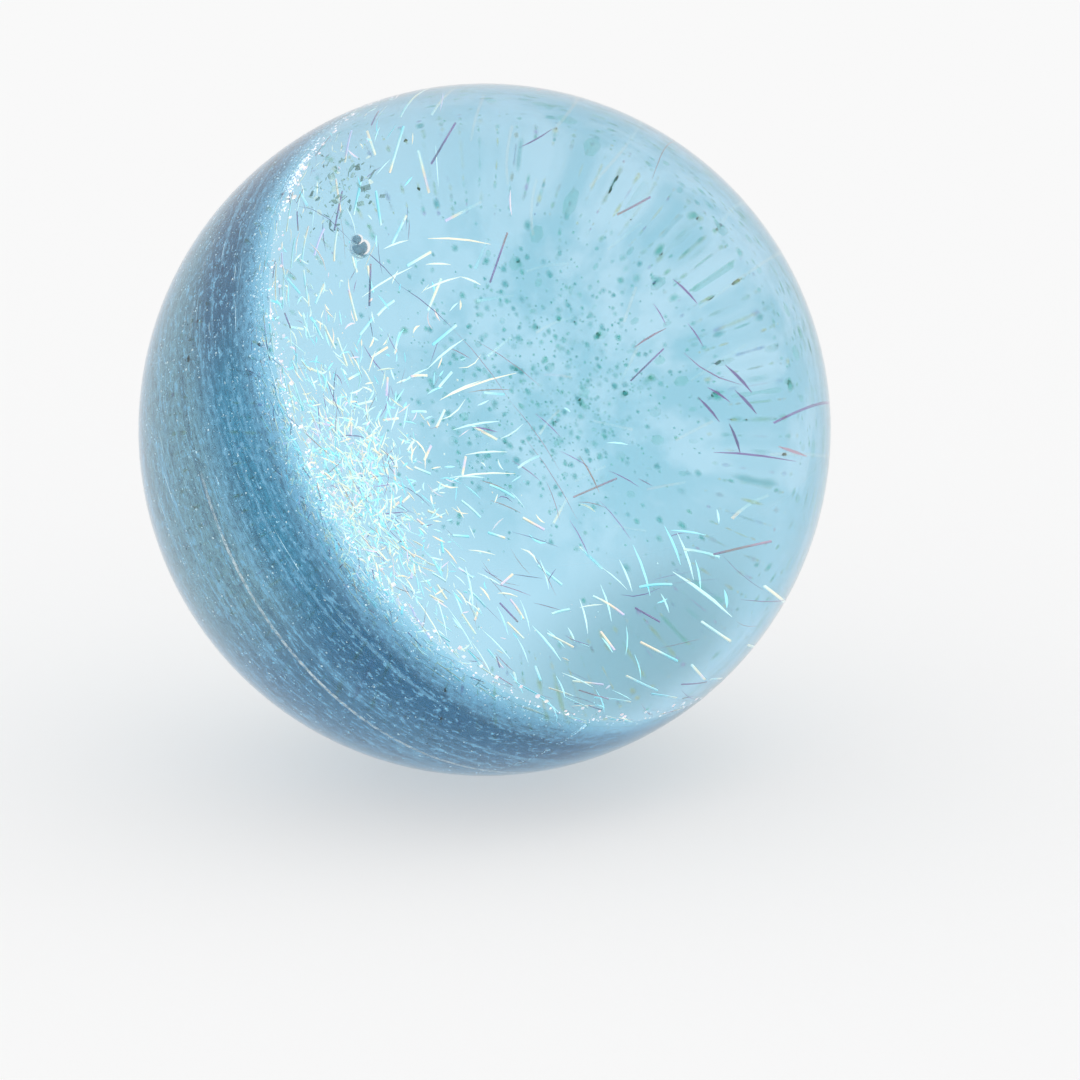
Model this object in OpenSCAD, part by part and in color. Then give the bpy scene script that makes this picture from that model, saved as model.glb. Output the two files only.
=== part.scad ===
// A clear glass marble with a cup of blue glass fused over its back and a burst of fine
// metal-coated strands lying on a shallow dish across its middle.
// All lengths are in millimetres. The origin is the ball's centre and +Z is up.

/* [Ball] */
// Diameter of the finished ball
ball_d = 42; // [30:0.5:60]
// Angle by which the clear face is raised above level
face_rise = 33; // [0:1:90]
// Angle by which the clear face is turned from the right towards the front
face_turn = 37.5; // [-180:0.5:180]

/* [Blue backing] */
// Distance of the backing's rim in front of the ball's centre
rim_ahead = 3.3; // [0.5:0.1:5]
// Thickness of the backing across its rim
rim_wall = 0.8; // [0.6:0.05:1.2]
// Thickness of the backing at the middle of the back
back_wall = 1.5; // [1:0.05:2.5]

/* [Seam thread] */
// Diameter of the pale thread laid round the backing
thread_d = 0.24; // [0.1:0.02:0.36]
// Depth of blue glass over the thread
thread_cover = 0.08; // [0.05:0.01:0.15]
// Distance of the thread's ring behind the ball's centre
thread_behind = 2.5; // [1:0.1:6]
// Lean of the thread's ring away from the backing's rim
thread_lean = 9; // [0:0.5:10]
// Side of the backing towards which the ring leans
thread_side = 307; // [0:1:360]

/* [Dichroic burst] */
// Distance of the middle of the burst behind the ball's centre
burst_behind = 6.4; // [3:0.1:8]
// Number of bright strands
strands = 280; // [40:1:320]
// Radius of the bare pocket in the middle of the burst
pocket_r = 0.45; // [0.3:0.05:1.5]
// Clear glass kept between the strands and the backing
burst_margin = 1.2; // [0.5:0.1:3]
// How strongly the strands crowd towards the middle
crowding = 0.85; // [0.5:0.05:1.5]
// Share by which the burst is drawn in on its dense side
drawn_in = 0.45; // [0:0.05:0.6]
// Side of the dish on which the burst is dense
dense_side = 245; // [0:1:360]
// Length of the strands round the pocket
strand_short = 0.55; // [0.3:0.05:1.2]
// Length of the strands at the edge of the burst
strand_long = 1.7; // [1:0.1:3]
// Width of a strand
strand_w = 0.08; // [0.05:0.01:0.16]
// Thickness of a strand
strand_t = 0.04; // [0.02:0.01:0.08]
// Radius to which the curved strands are bowed
strand_bow = 3; // [2:0.5:10]
// How far a strand round the pocket may be turned from straight outwards
skew_middle = 85; // [20:1:90]
// How far a strand at the edge of the burst may be turned from straight outwards
skew_edge = 35; // [10:1:60]
// Clear glass between one layer of strands and the next
layer_gap = 0.04; // [0.02:0.01:0.1]
// Number that the scatter starts from
scatter_seed = 7; // [1:1:99]

/* [Violet hairs] */
// Number of dark violet hairs
hairs = 44; // [10:1:80]
// Width and thickness of a hair
hair_w = 0.05; // [0.03:0.01:0.1]
// Length of a hair
hair_l = 1.6; // [0.8:0.1:3]
// How far a hair may be turned from straight outwards
hair_skew = 30; // [0:1:60]

/* [Rim frit] */
// Number of crumbs along the backing's rim
crumbs = 96; // [24:1:140]
// Size of the largest crumb
crumb_size = 0.22; // [0.12:0.01:0.35]
// Clear glass between the crumbs and the rim
crumb_gap = 0.05; // [0.03:0.01:0.1]
// Width of the line of crumbs
crumb_band = 0.5; // [0.2:0.05:1]

/* [Green specks] */
// Number of green specks
specks = 80; // [20:1:120]
// Size of the largest speck
speck_size = 0.28; // [0.2:0.02:0.5]
// Size of the smallest speck
speck_small = 0.08; // [0.06:0.01:0.18]
// Thickness of a speck
speck_t = 0.1; // [0.06:0.01:0.2]
// Clear glass between the specks and the backing
speck_gap = 0.06; // [0.03:0.01:0.15]
// Angle of the middle of the specks from the middle of the back
speck_lean = 55; // [0:1:60]
// Side of the backing on which the specks lie
speck_side = 97; // [0:1:360]
// Half angle of the patch of specks
speck_spread = 9; // [7:0.5:30]

/* [Flakes and bubble] */
// Number of crinkled flakes
flakes = 14; // [4:1:24]
// Size of the largest flake
flake_size = 0.5; // [0.3:0.05:0.9]
// Thickness of a flake
flake_t = 0.05; // [0.03:0.01:0.1]
// Distance of the middle of the flakes from the face's axis
flake_out = 13; // [8:0.5:14]
// Side of the dish on which the flakes lie
flake_side = 184; // [0:1:360]
// How far a flake may be tilted
flake_tilt = 40; // [0:1:60]
// Clear glass between a flake and its neighbours
flake_gap = 0.15; // [0.1:0.05:0.4]
// Distance of the bubble from the face's axis
bubble_out = 9.6; // [4:0.1:11]
// Side of the dish on which the bubble lies
bubble_side = 176; // [0:1:360]
// Diameter of the bubble's large end
bubble_d = 0.9; // [0.4:0.1:1.8]
// Clear glass between the hairs and the bubble
bubble_gap = 0.3; // [0.1:0.05:1]

/* [Hidden] */
$fn = 96;

ball_r = ball_d / 2;

// The backing's rim is a circle in the plane rim_ahead in front of the centre. Its inside is a
// sphere moved towards the face, so that the wall thins from the back to the rim.
rim_r = sqrt(pow(ball_r, 2) - pow(rim_ahead, 2));
lip_r = rim_r - rim_wall;
back_r = ball_r - back_wall;
inside_ahead = (pow(lip_r, 2) - pow(back_r, 2) + pow(rim_ahead, 2)) / (2 * (back_r + rim_ahead));
inside_r = back_r + inside_ahead;

// The thread's ring lies in the wall just under the ball's surface.
thread_ring_r = sqrt(pow(ball_r - thread_cover - thread_d / 2, 2) - pow(thread_behind, 2));

// The dish is a cap of a sphere from the lip down to the middle of the burst.
dish_depth = burst_behind + rim_ahead;
dish_r = (pow(lip_r, 2) + pow(dish_depth, 2)) / (2 * dish_depth);
dish_centre = dish_r - burst_behind;
burst_reach = lip_r - burst_margin - strand_long / 2;
layers = 10;
layer_pitch = strand_t + layer_gap;
burst_t = layers * layer_pitch;
hair_pitch = hair_w + layer_gap;
hairs_top = burst_t + layers * hair_pitch + hair_w;
golden_turn = 180 * (3 - sqrt(5));

function count(n) = [0:n - 1];
function draw(low, high, n, stream) = rands(low, high, n, scatter_seed + stream);
function mix(a, b, t) = a + (b - a) * t;

// Turns the face's axis, which is +Z for the modules below, to its place in the ball.
module facing() {
    rotate([0, 90 - face_rise, -face_turn])
        children();
}

// Puts its children on the dish, out from its middle, with X outwards and Z towards the face.
module on_dish(out, side, lift) {
    rotate([0, 0, side])
        translate([0, 0, dish_centre])
            rotate([0, -asin(out / dish_r), 0])
                translate([0, 0, lift - dish_r])
                    children();
}

// Puts its children on the inside of the backing, at a place in the patch round its middle.
module on_wall(off, round, lift) {
    translate([0, 0, inside_ahead])
        rotate([0, 0, speck_side])
            rotate([0, -speck_lean, 0])
                rotate([0, 0, round])
                    rotate([0, -off, 0])
                        translate([0, 0, lift - inside_r])
                            children();
}

module straight_strand(length, width, thickness) {
    cube([length, width, thickness], center = true);
}

// A flat ribbon bowed sideways, with its middle at the origin.
module bowed_strand(length, width, thickness, bow) {
    turn = length / bow * 180 / PI;
    translate([0, -bow, 0])
        rotate([0, 0, 90 - turn / 2])
            rotate_extrude(angle = turn)
                translate([bow - width / 2, -thickness / 2])
                    square([width, thickness]);
}

// Everything in front of the backing's rim.
module face_side() {
    translate([0, 0, rim_ahead])
        cylinder(h = ball_d, r = ball_d);
}

module backing_shell() {
    difference() {
        sphere(r = ball_r);
        translate([0, 0, inside_ahead])
            sphere(r = inside_r);
        face_side();
    }
}

module thread_ring() {
    rotate([0, 0, thread_side])
        rotate([0, thread_lean, 0])
            translate([0, 0, -thread_behind])
                rotate_extrude()
                    translate([thread_ring_r, 0])
                        circle(d = thread_d);
}

// How far out the burst reaches on one side, as a share of its full reach.
function reach_share(side) = 1 - drawn_in * (1 + cos(side - dense_side)) / 2;

// Strands wind out from the pocket, each a golden turn on from the last, and crowd towards the
// middle and the dense side. Neighbours lie in different layers, so that they cross without meeting.
module burst() {
    skew = draw(-1, 1, strands, 1);
    stretch = draw(0.75, 1.15, strands, 2);
    for (i = count(strands)) {
        share = pow((i + 0.5) / strands, crowding);
        length = mix(strand_short, strand_long, share) * stretch[i];
        heading = skew[i] * mix(skew_middle, skew_edge, share);
        side = i * golden_turn;
        on_dish(mix(pocket_r + length / 2, burst_reach * reach_share(side), share), side,
                (i % layers + 0.5) * layer_pitch)
            rotate([0, 0, heading])
                if (i % 3 == 0)
                    bowed_strand(length, strand_w, strand_t, strand_bow);
                else
                    straight_strand(length, strand_w, strand_t);
    }
}

module hair_burst() {
    skew = draw(-hair_skew, hair_skew, hairs, 3);
    stretch = draw(0.6, 1.1, hairs, 4);
    for (i = count(hairs)) {
        out = mix(burst_reach * 0.3, burst_reach, sqrt((i + 0.5) / hairs));
        on_dish(out, i * golden_turn + 20, burst_t + (i % layers + 1) * hair_pitch)
            rotate([0, 0, skew[i]])
                straight_strand(hair_l * stretch[i], hair_w, hair_w);
    }
}

// A cube of the largest size turned any way reaches half its diagonal.
module crumb_line() {
    reach = crumb_size * sqrt(3) / 2;
    tilt = draw(0, 90, crumbs * 2, 5);
    size = draw(0.5, 1, crumbs, 6);
    inwards = draw(0, crumb_band, crumbs, 7);
    ahead = draw(0, crumb_band, crumbs, 8);
    jog = draw(-0.35, 0.35, crumbs, 9);
    for (i = count(crumbs))
        rotate([0, 0, (i + jog[i]) * 360 / crumbs])
            translate([lip_r - reach - inwards[i], 0, rim_ahead + crumb_gap + reach + ahead[i]])
                rotate([tilt[2 * i], tilt[2 * i + 1], 0])
                    cube(crumb_size * size[i], center = true);
}

module speck_patch() {
    grade = draw(0, 1, specks, 10);
    for (i = count(specks))
        on_wall(speck_spread * sqrt((i + 0.5) / specks), i * golden_turn, speck_gap + speck_t / 2)
            cylinder(h = speck_t, d = mix(speck_small, speck_size, pow(grade[i], 2)), center = true, $fn = 6);
}

// Flakes lie round their middle in four heights, each clear of the next.
module flake_patch() {
    heights = 4;
    step = flake_size + flake_gap;
    tilt = draw(-flake_tilt, flake_tilt, flakes * 2, 11);
    size = draw(0.5, 1, flakes, 12);
    for (i = count(flakes))
        on_dish(flake_out, flake_side, hairs_top + (i % heights + 0.5) * step)
            rotate([0, 0, i * golden_turn])
                translate([step * 0.55 * sqrt(i), 0, 0])
                    rotate([tilt[2 * i], tilt[2 * i + 1], 0])
                        cube([flake_size * size[i], flake_size * size[i] * 0.6, flake_t], center = true);
}

// The bubble is a true hollow in the glass: a round end with a smaller one grown on to it.
module bubble() {
    on_dish(bubble_out, bubble_side, hairs_top + bubble_gap + bubble_d / 2) {
        sphere(d = bubble_d);
        translate([bubble_d * 0.45, bubble_d * 0.2, 0])
            sphere(d = bubble_d * 0.6);
    }
}

module clear_glass() {
    color("aliceblue", 0.25)
        facing()
            difference() {
                union() {
                    intersection() {
                        sphere(r = ball_r);
                        face_side();
                    }
                    translate([0, 0, inside_ahead])
                        sphere(r = inside_r);
                }
                burst();
                hair_burst();
                crumb_line();
                speck_patch();
                flake_patch();
                bubble();
            }
}

module blue_backing() {
    color([0.16, 0.42, 0.62], 0.6)
        facing()
            difference() {
                backing_shell();
                thread_ring();
            }
}

module seam_thread() {
    color([0.78, 0.9, 1])
        facing()
            thread_ring();
}

module dichroic_strands() {
    color([0.72, 0.95, 0.97])
        facing()
            burst();
}

module violet_strands() {
    color([0.42, 0.3, 0.55])
        facing()
            hair_burst();
}

module rim_frit() {
    color([0.9, 0.84, 0.92])
        facing()
            crumb_line();
}

module green_specks() {
    color([0.05, 0.35, 0.36])
        facing()
            speck_patch();
}

module debris_flakes() {
    color([0.3, 0.42, 0.38])
        facing()
            flake_patch();
}

clear_glass();
blue_backing();
seam_thread();
dichroic_strands();
violet_strands();
rim_frit();
green_specks();
debris_flakes();
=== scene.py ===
"""Looks for a clear glass marble with a blue glass cup over its back and a burst of fine strands.

Sizes are in millimetres and are turned into metres where a mesh is made. The marble's own axis runs through
the middle of its clear face: "face frame" below means coordinates with +Z along that axis and the origin at
the ball's centre, and "row frame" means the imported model's own coordinates.
"""

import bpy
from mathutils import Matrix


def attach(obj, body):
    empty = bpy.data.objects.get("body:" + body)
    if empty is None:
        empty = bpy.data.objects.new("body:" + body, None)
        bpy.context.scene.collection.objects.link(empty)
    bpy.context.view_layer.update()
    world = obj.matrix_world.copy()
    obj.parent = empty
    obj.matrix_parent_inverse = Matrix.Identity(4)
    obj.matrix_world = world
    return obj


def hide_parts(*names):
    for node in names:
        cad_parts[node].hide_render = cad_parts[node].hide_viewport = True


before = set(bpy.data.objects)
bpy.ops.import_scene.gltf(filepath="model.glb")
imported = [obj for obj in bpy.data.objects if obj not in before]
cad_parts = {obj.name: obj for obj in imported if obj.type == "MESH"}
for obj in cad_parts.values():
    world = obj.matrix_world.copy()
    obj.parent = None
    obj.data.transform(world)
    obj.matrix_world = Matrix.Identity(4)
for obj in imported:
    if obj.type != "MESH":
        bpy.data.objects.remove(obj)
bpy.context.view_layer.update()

import logging
import math
from dataclasses import dataclass, field
from enum import Enum

import bpy
import numpy as np

LOG = logging.getLogger("marble")
MM = 0.001
PICTURE_SIDE = 1080

Array = np.ndarray
Rng = np.random.Generator
Piece = bpy.types.Object
Material = bpy.types.Material
Pair = tuple[float, float]
Colour = tuple[float, float, float]
Stops = tuple[tuple[float, Colour], ...]


class Slot(Enum):
    """The record's material slots."""

    CLEAR = "clear_glass"
    BLUE = "blue_glass"
    THREAD = "pale_thread"
    DICHROIC = "dichroic_film"
    VIOLET = "violet_film"
    FRIT = "pale_frit"
    GREEN = "green_glass"
    FLAKE = "flake_film"


@dataclass(frozen=True)
class Ball:
    """The marble's own sizes, as the construction has them."""

    radius: float = 21.0
    face_rise: float = 33.0
    face_turn: float = 37.5
    rim_ahead: float = 3.3
    rim_wall: float = 0.8
    back_wall: float = 1.5
    burst_behind: float = 6.4
    index: float = 1.5

    @property
    def rim_r(self) -> float:
        """Radius of the backing's rim at the ball's surface."""
        return math.sqrt(self.radius ** 2 - self.rim_ahead ** 2)

    @property
    def lip_r(self) -> float:
        """Radius of the backing's rim on its inside."""
        return self.rim_r - self.rim_wall

    @property
    def inside_ahead(self) -> float:
        """How far the inside sphere's centre lies towards the face."""
        back = self.radius - self.back_wall
        return (self.lip_r ** 2 - back ** 2 + self.rim_ahead ** 2) / (2 * (back + self.rim_ahead))

    @property
    def inside_r(self) -> float:
        """Radius of the backing's inside."""
        return self.radius - self.back_wall + self.inside_ahead

    @property
    def lip_lean(self) -> float:
        """Angle between the face's axis and the rim's inside, seen from the inside sphere's centre."""
        return math.acos((self.rim_ahead - self.inside_ahead) / self.inside_r)

    @property
    def dish_r(self) -> float:
        """Radius of the sphere that the burst's dish is a cap of."""
        depth = self.burst_behind + self.rim_ahead
        return (self.lip_r ** 2 + depth ** 2) / (2 * depth)

    @property
    def dish_centre(self) -> float:
        """Height of the centre of the dish's sphere on the face's axis."""
        return self.dish_r - self.burst_behind

    @property
    def axes(self) -> Array:
        """The face frame's axes in the row frame, one in each column.

        The face's axis is tipped from upright by 90 degrees less its rise, then turned about the upright.

        Returns:
            An array of 3 rows and 3 columns.
        """
        tip, turn = math.radians(90 - self.face_rise), math.radians(-self.face_turn)
        about_y = np.array([[math.cos(tip), 0, math.sin(tip)], [0, 1, 0],
                            [-math.sin(tip), 0, math.cos(tip)]])
        about_z = np.array([[math.cos(turn), -math.sin(turn), 0], [math.sin(turn), math.cos(turn), 0],
                            [0, 0, 1]])
        return about_z @ about_y


BALL = Ball()


def unit(vectors: Array) -> Array:
    """Vectors divided by their lengths."""
    return vectors / np.maximum(np.linalg.norm(vectors, axis=-1, keepdims=True), 1e-12)


def blend(low: float, high: float, share: Array) -> Array:
    """Values from low to high as share goes from 0 to 1."""
    return low + (high - low) * share


@dataclass
class Sheet:
    """A mesh in the making: arrays of corners and faces in the face frame, in millimetres."""

    points: list[Array] = field(default_factory=list)
    normals: list[Array] = field(default_factory=list)
    faces: list[list[int]] = field(default_factory=list)
    materials: list[int] = field(default_factory=list)
    values: dict[str, list[Array]] = field(default_factory=dict)
    size: int = 0

    def put(self, points: Array, normals: Array | None = None, **values: Array) -> int:
        """Adds corners.

        Args:
            points: Their places, with three coordinates in the last column.
            normals: The surface's true normals there, or None.
            values: Attribute values for each corner, by name.

        Returns:
            The number of the first new corner.
        """
        first = self.size
        self.points.append(points.reshape(-1, 3))
        self.normals.append(np.zeros_like(self.points[-1]) if normals is None else normals.reshape(-1, 3))
        for name, value in values.items():
            self.values.setdefault(name, []).append(value.reshape(-1))
        self.size += len(self.points[-1])
        return first

    def cover(self, faces: Array, material: int = 0) -> None:
        """Adds faces, one row of corner numbers for each."""
        self.faces += faces.tolist()
        self.materials += [material] * len(faces)

    def grid(self, points: Array, normals: Array, material: int = 0) -> int:
        """Adds a surface given on a grid of rows and columns, joined by four-sided faces.

        Args:
            points: Array of rows, columns and 3 coordinates. The last column meets the first.
            normals: The true normals on the same grid.
            material: Number of the material slot.

        Returns:
            The number of the first corner of the last row.
        """
        rows, columns = points.shape[:2]
        first = self.put(points, normals)
        row, column = np.meshgrid(np.arange(rows - 1), np.arange(columns), indexing="ij")
        beside = (column + 1) % columns
        quads = np.stack([row * columns + column, row * columns + beside,
                          (row + 1) * columns + beside, (row + 1) * columns + column], -1)
        self.cover(quads.reshape(-1, 4) + first, material)
        return first + (rows - 1) * columns

    def close(self, tip: Array, normal: Array, ring: int, count: int, material: int = 0,
              order: int = 1) -> None:
        """Closes a ring of corners with triangles to one tip.

        Args:
            tip: The tip's place.
            normal: The true normal at the tip.
            ring: The number of the ring's first corner.
            count: How many corners the ring has.
            material: Number of the material slot.
            order: 1, or -1 to turn the triangles over.
        """
        point = self.put(tip[None], normal[None])
        around = np.arange(count)
        pair = (ring + around, ring + (around + 1) % count)[::order]
        self.cover(np.stack([np.full(count, point), *pair], -1), material)

    def make(self, name: str, finishes: list[Material], smooth: bool = False) -> Piece:
        """Turns the sheet into an object in the row frame, in metres, with corners that coincide made one.

        Args:
            name: The object's name.
            finishes: One material for each slot.
            smooth: Whether the faces are shaded smooth, by the true normals.

        Returns:
            The new object, at the origin.
        """
        places = np.vstack(self.points)
        keys, kept, merged = np.unique(places.round(5), axis=0, return_index=True, return_inverse=True)
        merged = merged.reshape(-1)
        mesh = bpy.data.meshes.new(name)
        faces = [[int(merged[i]) for i in face] for face in self.faces]
        mesh.from_pydata((places[kept] @ BALL.axes.T * MM).tolist(), [], faces)
        for finish in finishes:
            mesh.materials.append(finish)
        mesh.polygons.foreach_set("material_index", np.array(self.materials, np.int32))
        mesh.polygons.foreach_set("use_smooth", np.full(len(faces), smooth))
        for title, values in self.values.items():
            mesh.attributes.new(title, "FLOAT", "POINT").data.foreach_set(
                "value", np.concatenate(values)[kept].astype(np.float32))
        if smooth:
            corners = np.concatenate([np.array(face) for face in self.faces])
            mesh.normals_split_custom_set((unit(np.vstack(self.normals)) @ BALL.axes.T)[corners].tolist())
        mesh.update()
        piece = bpy.data.objects.new(name, mesh)
        bpy.context.scene.collection.objects.link(piece)
        return piece


class Wire:
    """An output socket that adds Math nodes when Python arithmetic is done on it."""

    def __init__(self, maker: "Finish", socket: bpy.types.NodeSocket) -> None:
        """Keeps the socket and the finish whose node tree it's in."""
        self.maker, self.socket = maker, socket

    def _math(self, operation: str, first: object, second: object) -> "Wire":
        """One Math node."""
        return self.maker.add("ShaderNodeMath", {"operation": operation}, {0: first, 1: second})

    def __add__(self, other: object) -> "Wire":
        """self + other"""
        return self._math("ADD", self, other)

    def __sub__(self, other: object) -> "Wire":
        """self - other"""
        return self._math("SUBTRACT", self, other)

    def __rsub__(self, other: object) -> "Wire":
        """other - self"""
        return self._math("SUBTRACT", other, self)

    def __mul__(self, other: object) -> "Wire":
        """self * other"""
        return self._math("MULTIPLY", self, other)

    def clamped(self, low: float, high: float) -> "Wire":
        """0 at low and below, 1 at high and above, and a smooth step between them."""
        return self.maker.add("ShaderNodeMapRange", {"interpolation_type": "SMOOTHSTEP"},
                              {"Value": self, "From Min": low, "From Max": high})


class Finish:
    """A material's node tree, built through one method that adds any node."""

    def __init__(self, name: str) -> None:
        """Makes an empty material with its output node.

        Args:
            name: The material's name.
        """
        self.material = bpy.data.materials.new(name)
        self.material.use_nodes = True
        self.material.cycles.emission_sampling = "NONE"
        self.tree = self.material.node_tree
        self.tree.nodes.clear()
        self.out = self.tree.nodes.new("ShaderNodeOutputMaterial")

    def add(self, kind: str, settings: dict[str, object] | None = None,
            values: dict[object, object] | None = None, output: object = 0) -> Wire:
        """Adds a node.

        Args:
            kind: The node's type.
            settings: What is set on the node first, where "stops" is a ramp's list of place and colour.
            values: Values or wires for its input sockets, by name or number.
            output: Name or number of the socket to give back.

        Returns:
            That output socket.
        """
        node = self.tree.nodes.new(kind)
        for name, value in (settings or {}).items():
            if name == "stops":
                self._ramp(node.color_ramp, value)
            else:
                setattr(node, name, value)
        for name, value in (values or {}).items():
            if isinstance(value, Wire):
                self.tree.links.new(value.socket, node.inputs[name])
            else:
                node.inputs[name].default_value = value
        return Wire(self, node.outputs[output])

    @staticmethod
    def _ramp(ramp: bpy.types.ColorRamp, stops: Stops) -> None:
        """Gives a colour ramp its stops.

        Args:
            ramp: The colour ramp, with two stops or more.
            stops: The place and colour of each stop.
        """
        while len(ramp.elements) < len(stops):
            ramp.elements.new(1.0)
        for element, (place, colour) in zip(ramp.elements, stops):
            element.position, element.color = place, (*colour, 1)

    def place(self) -> Wire:
        """The point's place in the row frame, in metres."""
        return self.add("ShaderNodeTexCoord", output="Object")

    def along(self, direction: Array) -> Wire:
        """The point's distance from the ball's centre along a direction, in millimetres."""
        return self.add("ShaderNodeVectorMath", {"operation": "DOT_PRODUCT"},
                        {0: self.place(), 1: tuple(unit(np.asarray(direction, float)) / MM)}, "Value")

    def noise(self, scale: float, detail: float = 2.0, vector: Wire | None = None,
              roughness: float = 0.5) -> Wire:
        """Soft noise from 0 to 1, with scale in bumps per millimetre."""
        return self.add("ShaderNodeTexNoise", {}, {
            "Vector": vector or self.place(), "Scale": scale / MM, "Detail": detail, "Roughness": roughness})

    def stretched(self, along: float, across: float) -> Wire:
        """Places squeezed for noise that runs parallel to the backing's rim.

        Args:
            along: Factor along the face's axis.
            across: Factor in the two directions across it.

        Returns:
            The places, in metres.
        """
        x, y, z = (self.along(BALL.axes[:, i]) * factor * MM
                   for i, factor in enumerate((across, across, along)))
        return self.add("ShaderNodeCombineXYZ", {}, {0: x, 1: y, 2: z})

    def ramp(self, factor: Wire, stops: Stops) -> Wire:
        """A colour read from stops."""
        return self.add("ShaderNodeValToRGB", {"stops": stops}, {"Fac": factor})

    @staticmethod
    def _opaque(value: object) -> object:
        """A colour with its alpha of 1 added, and anything else as it is."""
        return (*value, 1) if isinstance(value, tuple) and len(value) == 3 else value

    def mixed(self, factor: object, first: object, second: object) -> Wire:
        """Two colours mixed."""
        values = {0: factor, 6: self._opaque(first), 7: self._opaque(second)}
        return self.add("ShaderNodeMix", {"data_type": "RGBA"}, values, 2)

    def attribute(self, name: str) -> Wire:
        """A corner attribute of the mesh."""
        return self.add("ShaderNodeAttribute", {"attribute_name": name}, output="Fac")

    def seen(self) -> Wire:
        """1 for lines of sight, also through glass, and 0 for light on its way to a surface."""
        path = self.tree.nodes.new("ShaderNodeLightPath")
        return 1 - Wire(self, path.outputs["Is Diffuse Ray"])

    def glaze(self, **values: object) -> Wire:
        """A Principled shader, with its sockets named in words joined by underscores."""
        sockets = {name.replace("_", " "): self._opaque(value) for name, value in values.items()}
        return self.add("ShaderNodeBsdfPrincipled", {}, sockets)

    def show(self, shader: Wire) -> Material:
        """Links the shader to the output and gives back the material."""
        self.tree.links.new(shader.socket, self.out.inputs["Surface"])
        return self.material

    def glass(self, tint: object, index: float) -> Material:
        """Smooth glass that light goes through."""
        return self.show(self.glaze(Base_Color=tint, Roughness=0.0, IOR=index, Transmission_Weight=1.0))

    def with_painted_glow(self, colour: object, painted_glow: float, **looks: object) -> Material:
        """A surface with painted light: it gives off a little light of its own colour, as bits lit from all
        round seem to.
        """
        # painted light: emission on a part that is no lamp
        shader = self.glaze(Base_Color=colour, Emission_Color=colour, Emission_Strength=painted_glow, **looks)
        return self.show(shader)


@dataclass(frozen=True)
class ClearGlass:
    """The clear glass: smooth, bright and colourless."""

    tint: Colour = (0.985, 0.995, 1.0)
    # painted shade: the grey that makes the bubble's wall look dark
    bubble_shade: Colour = (0.3, 0.4, 0.45)

    def body(self) -> Material:
        """The ball's own glass, with hardly any tint."""
        return Finish("clear_glass").glass(self.tint, BALL.index)

    def hollow(self) -> Material:
        """The wall of an air bubble, greyed with painted shade because it shows dark in the clear glass."""
        return Finish("bubble_wall").glass(self.bubble_shade, BALL.index)

    def joint(self) -> Material:
        """The place where clear glass meets blue: nothing shows there, because both bend light alike."""
        finish = Finish("fused_joint")
        return finish.show(finish.add("ShaderNodeBsdfTransparent"))


@dataclass(frozen=True)
class Patch:
    """The part of the far wall that holds green dots, in degrees from the inside sphere's centre."""

    lean: float = 54.0
    side: float = 97.0
    spread: float = 5.0

    @property
    def middle(self) -> Array:
        """Its middle, in the face frame."""
        return on_wall(np.array([self.lean]), np.array([self.side]), np.zeros(1))[0][0]


DOT_PATCH = Patch()


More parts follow.
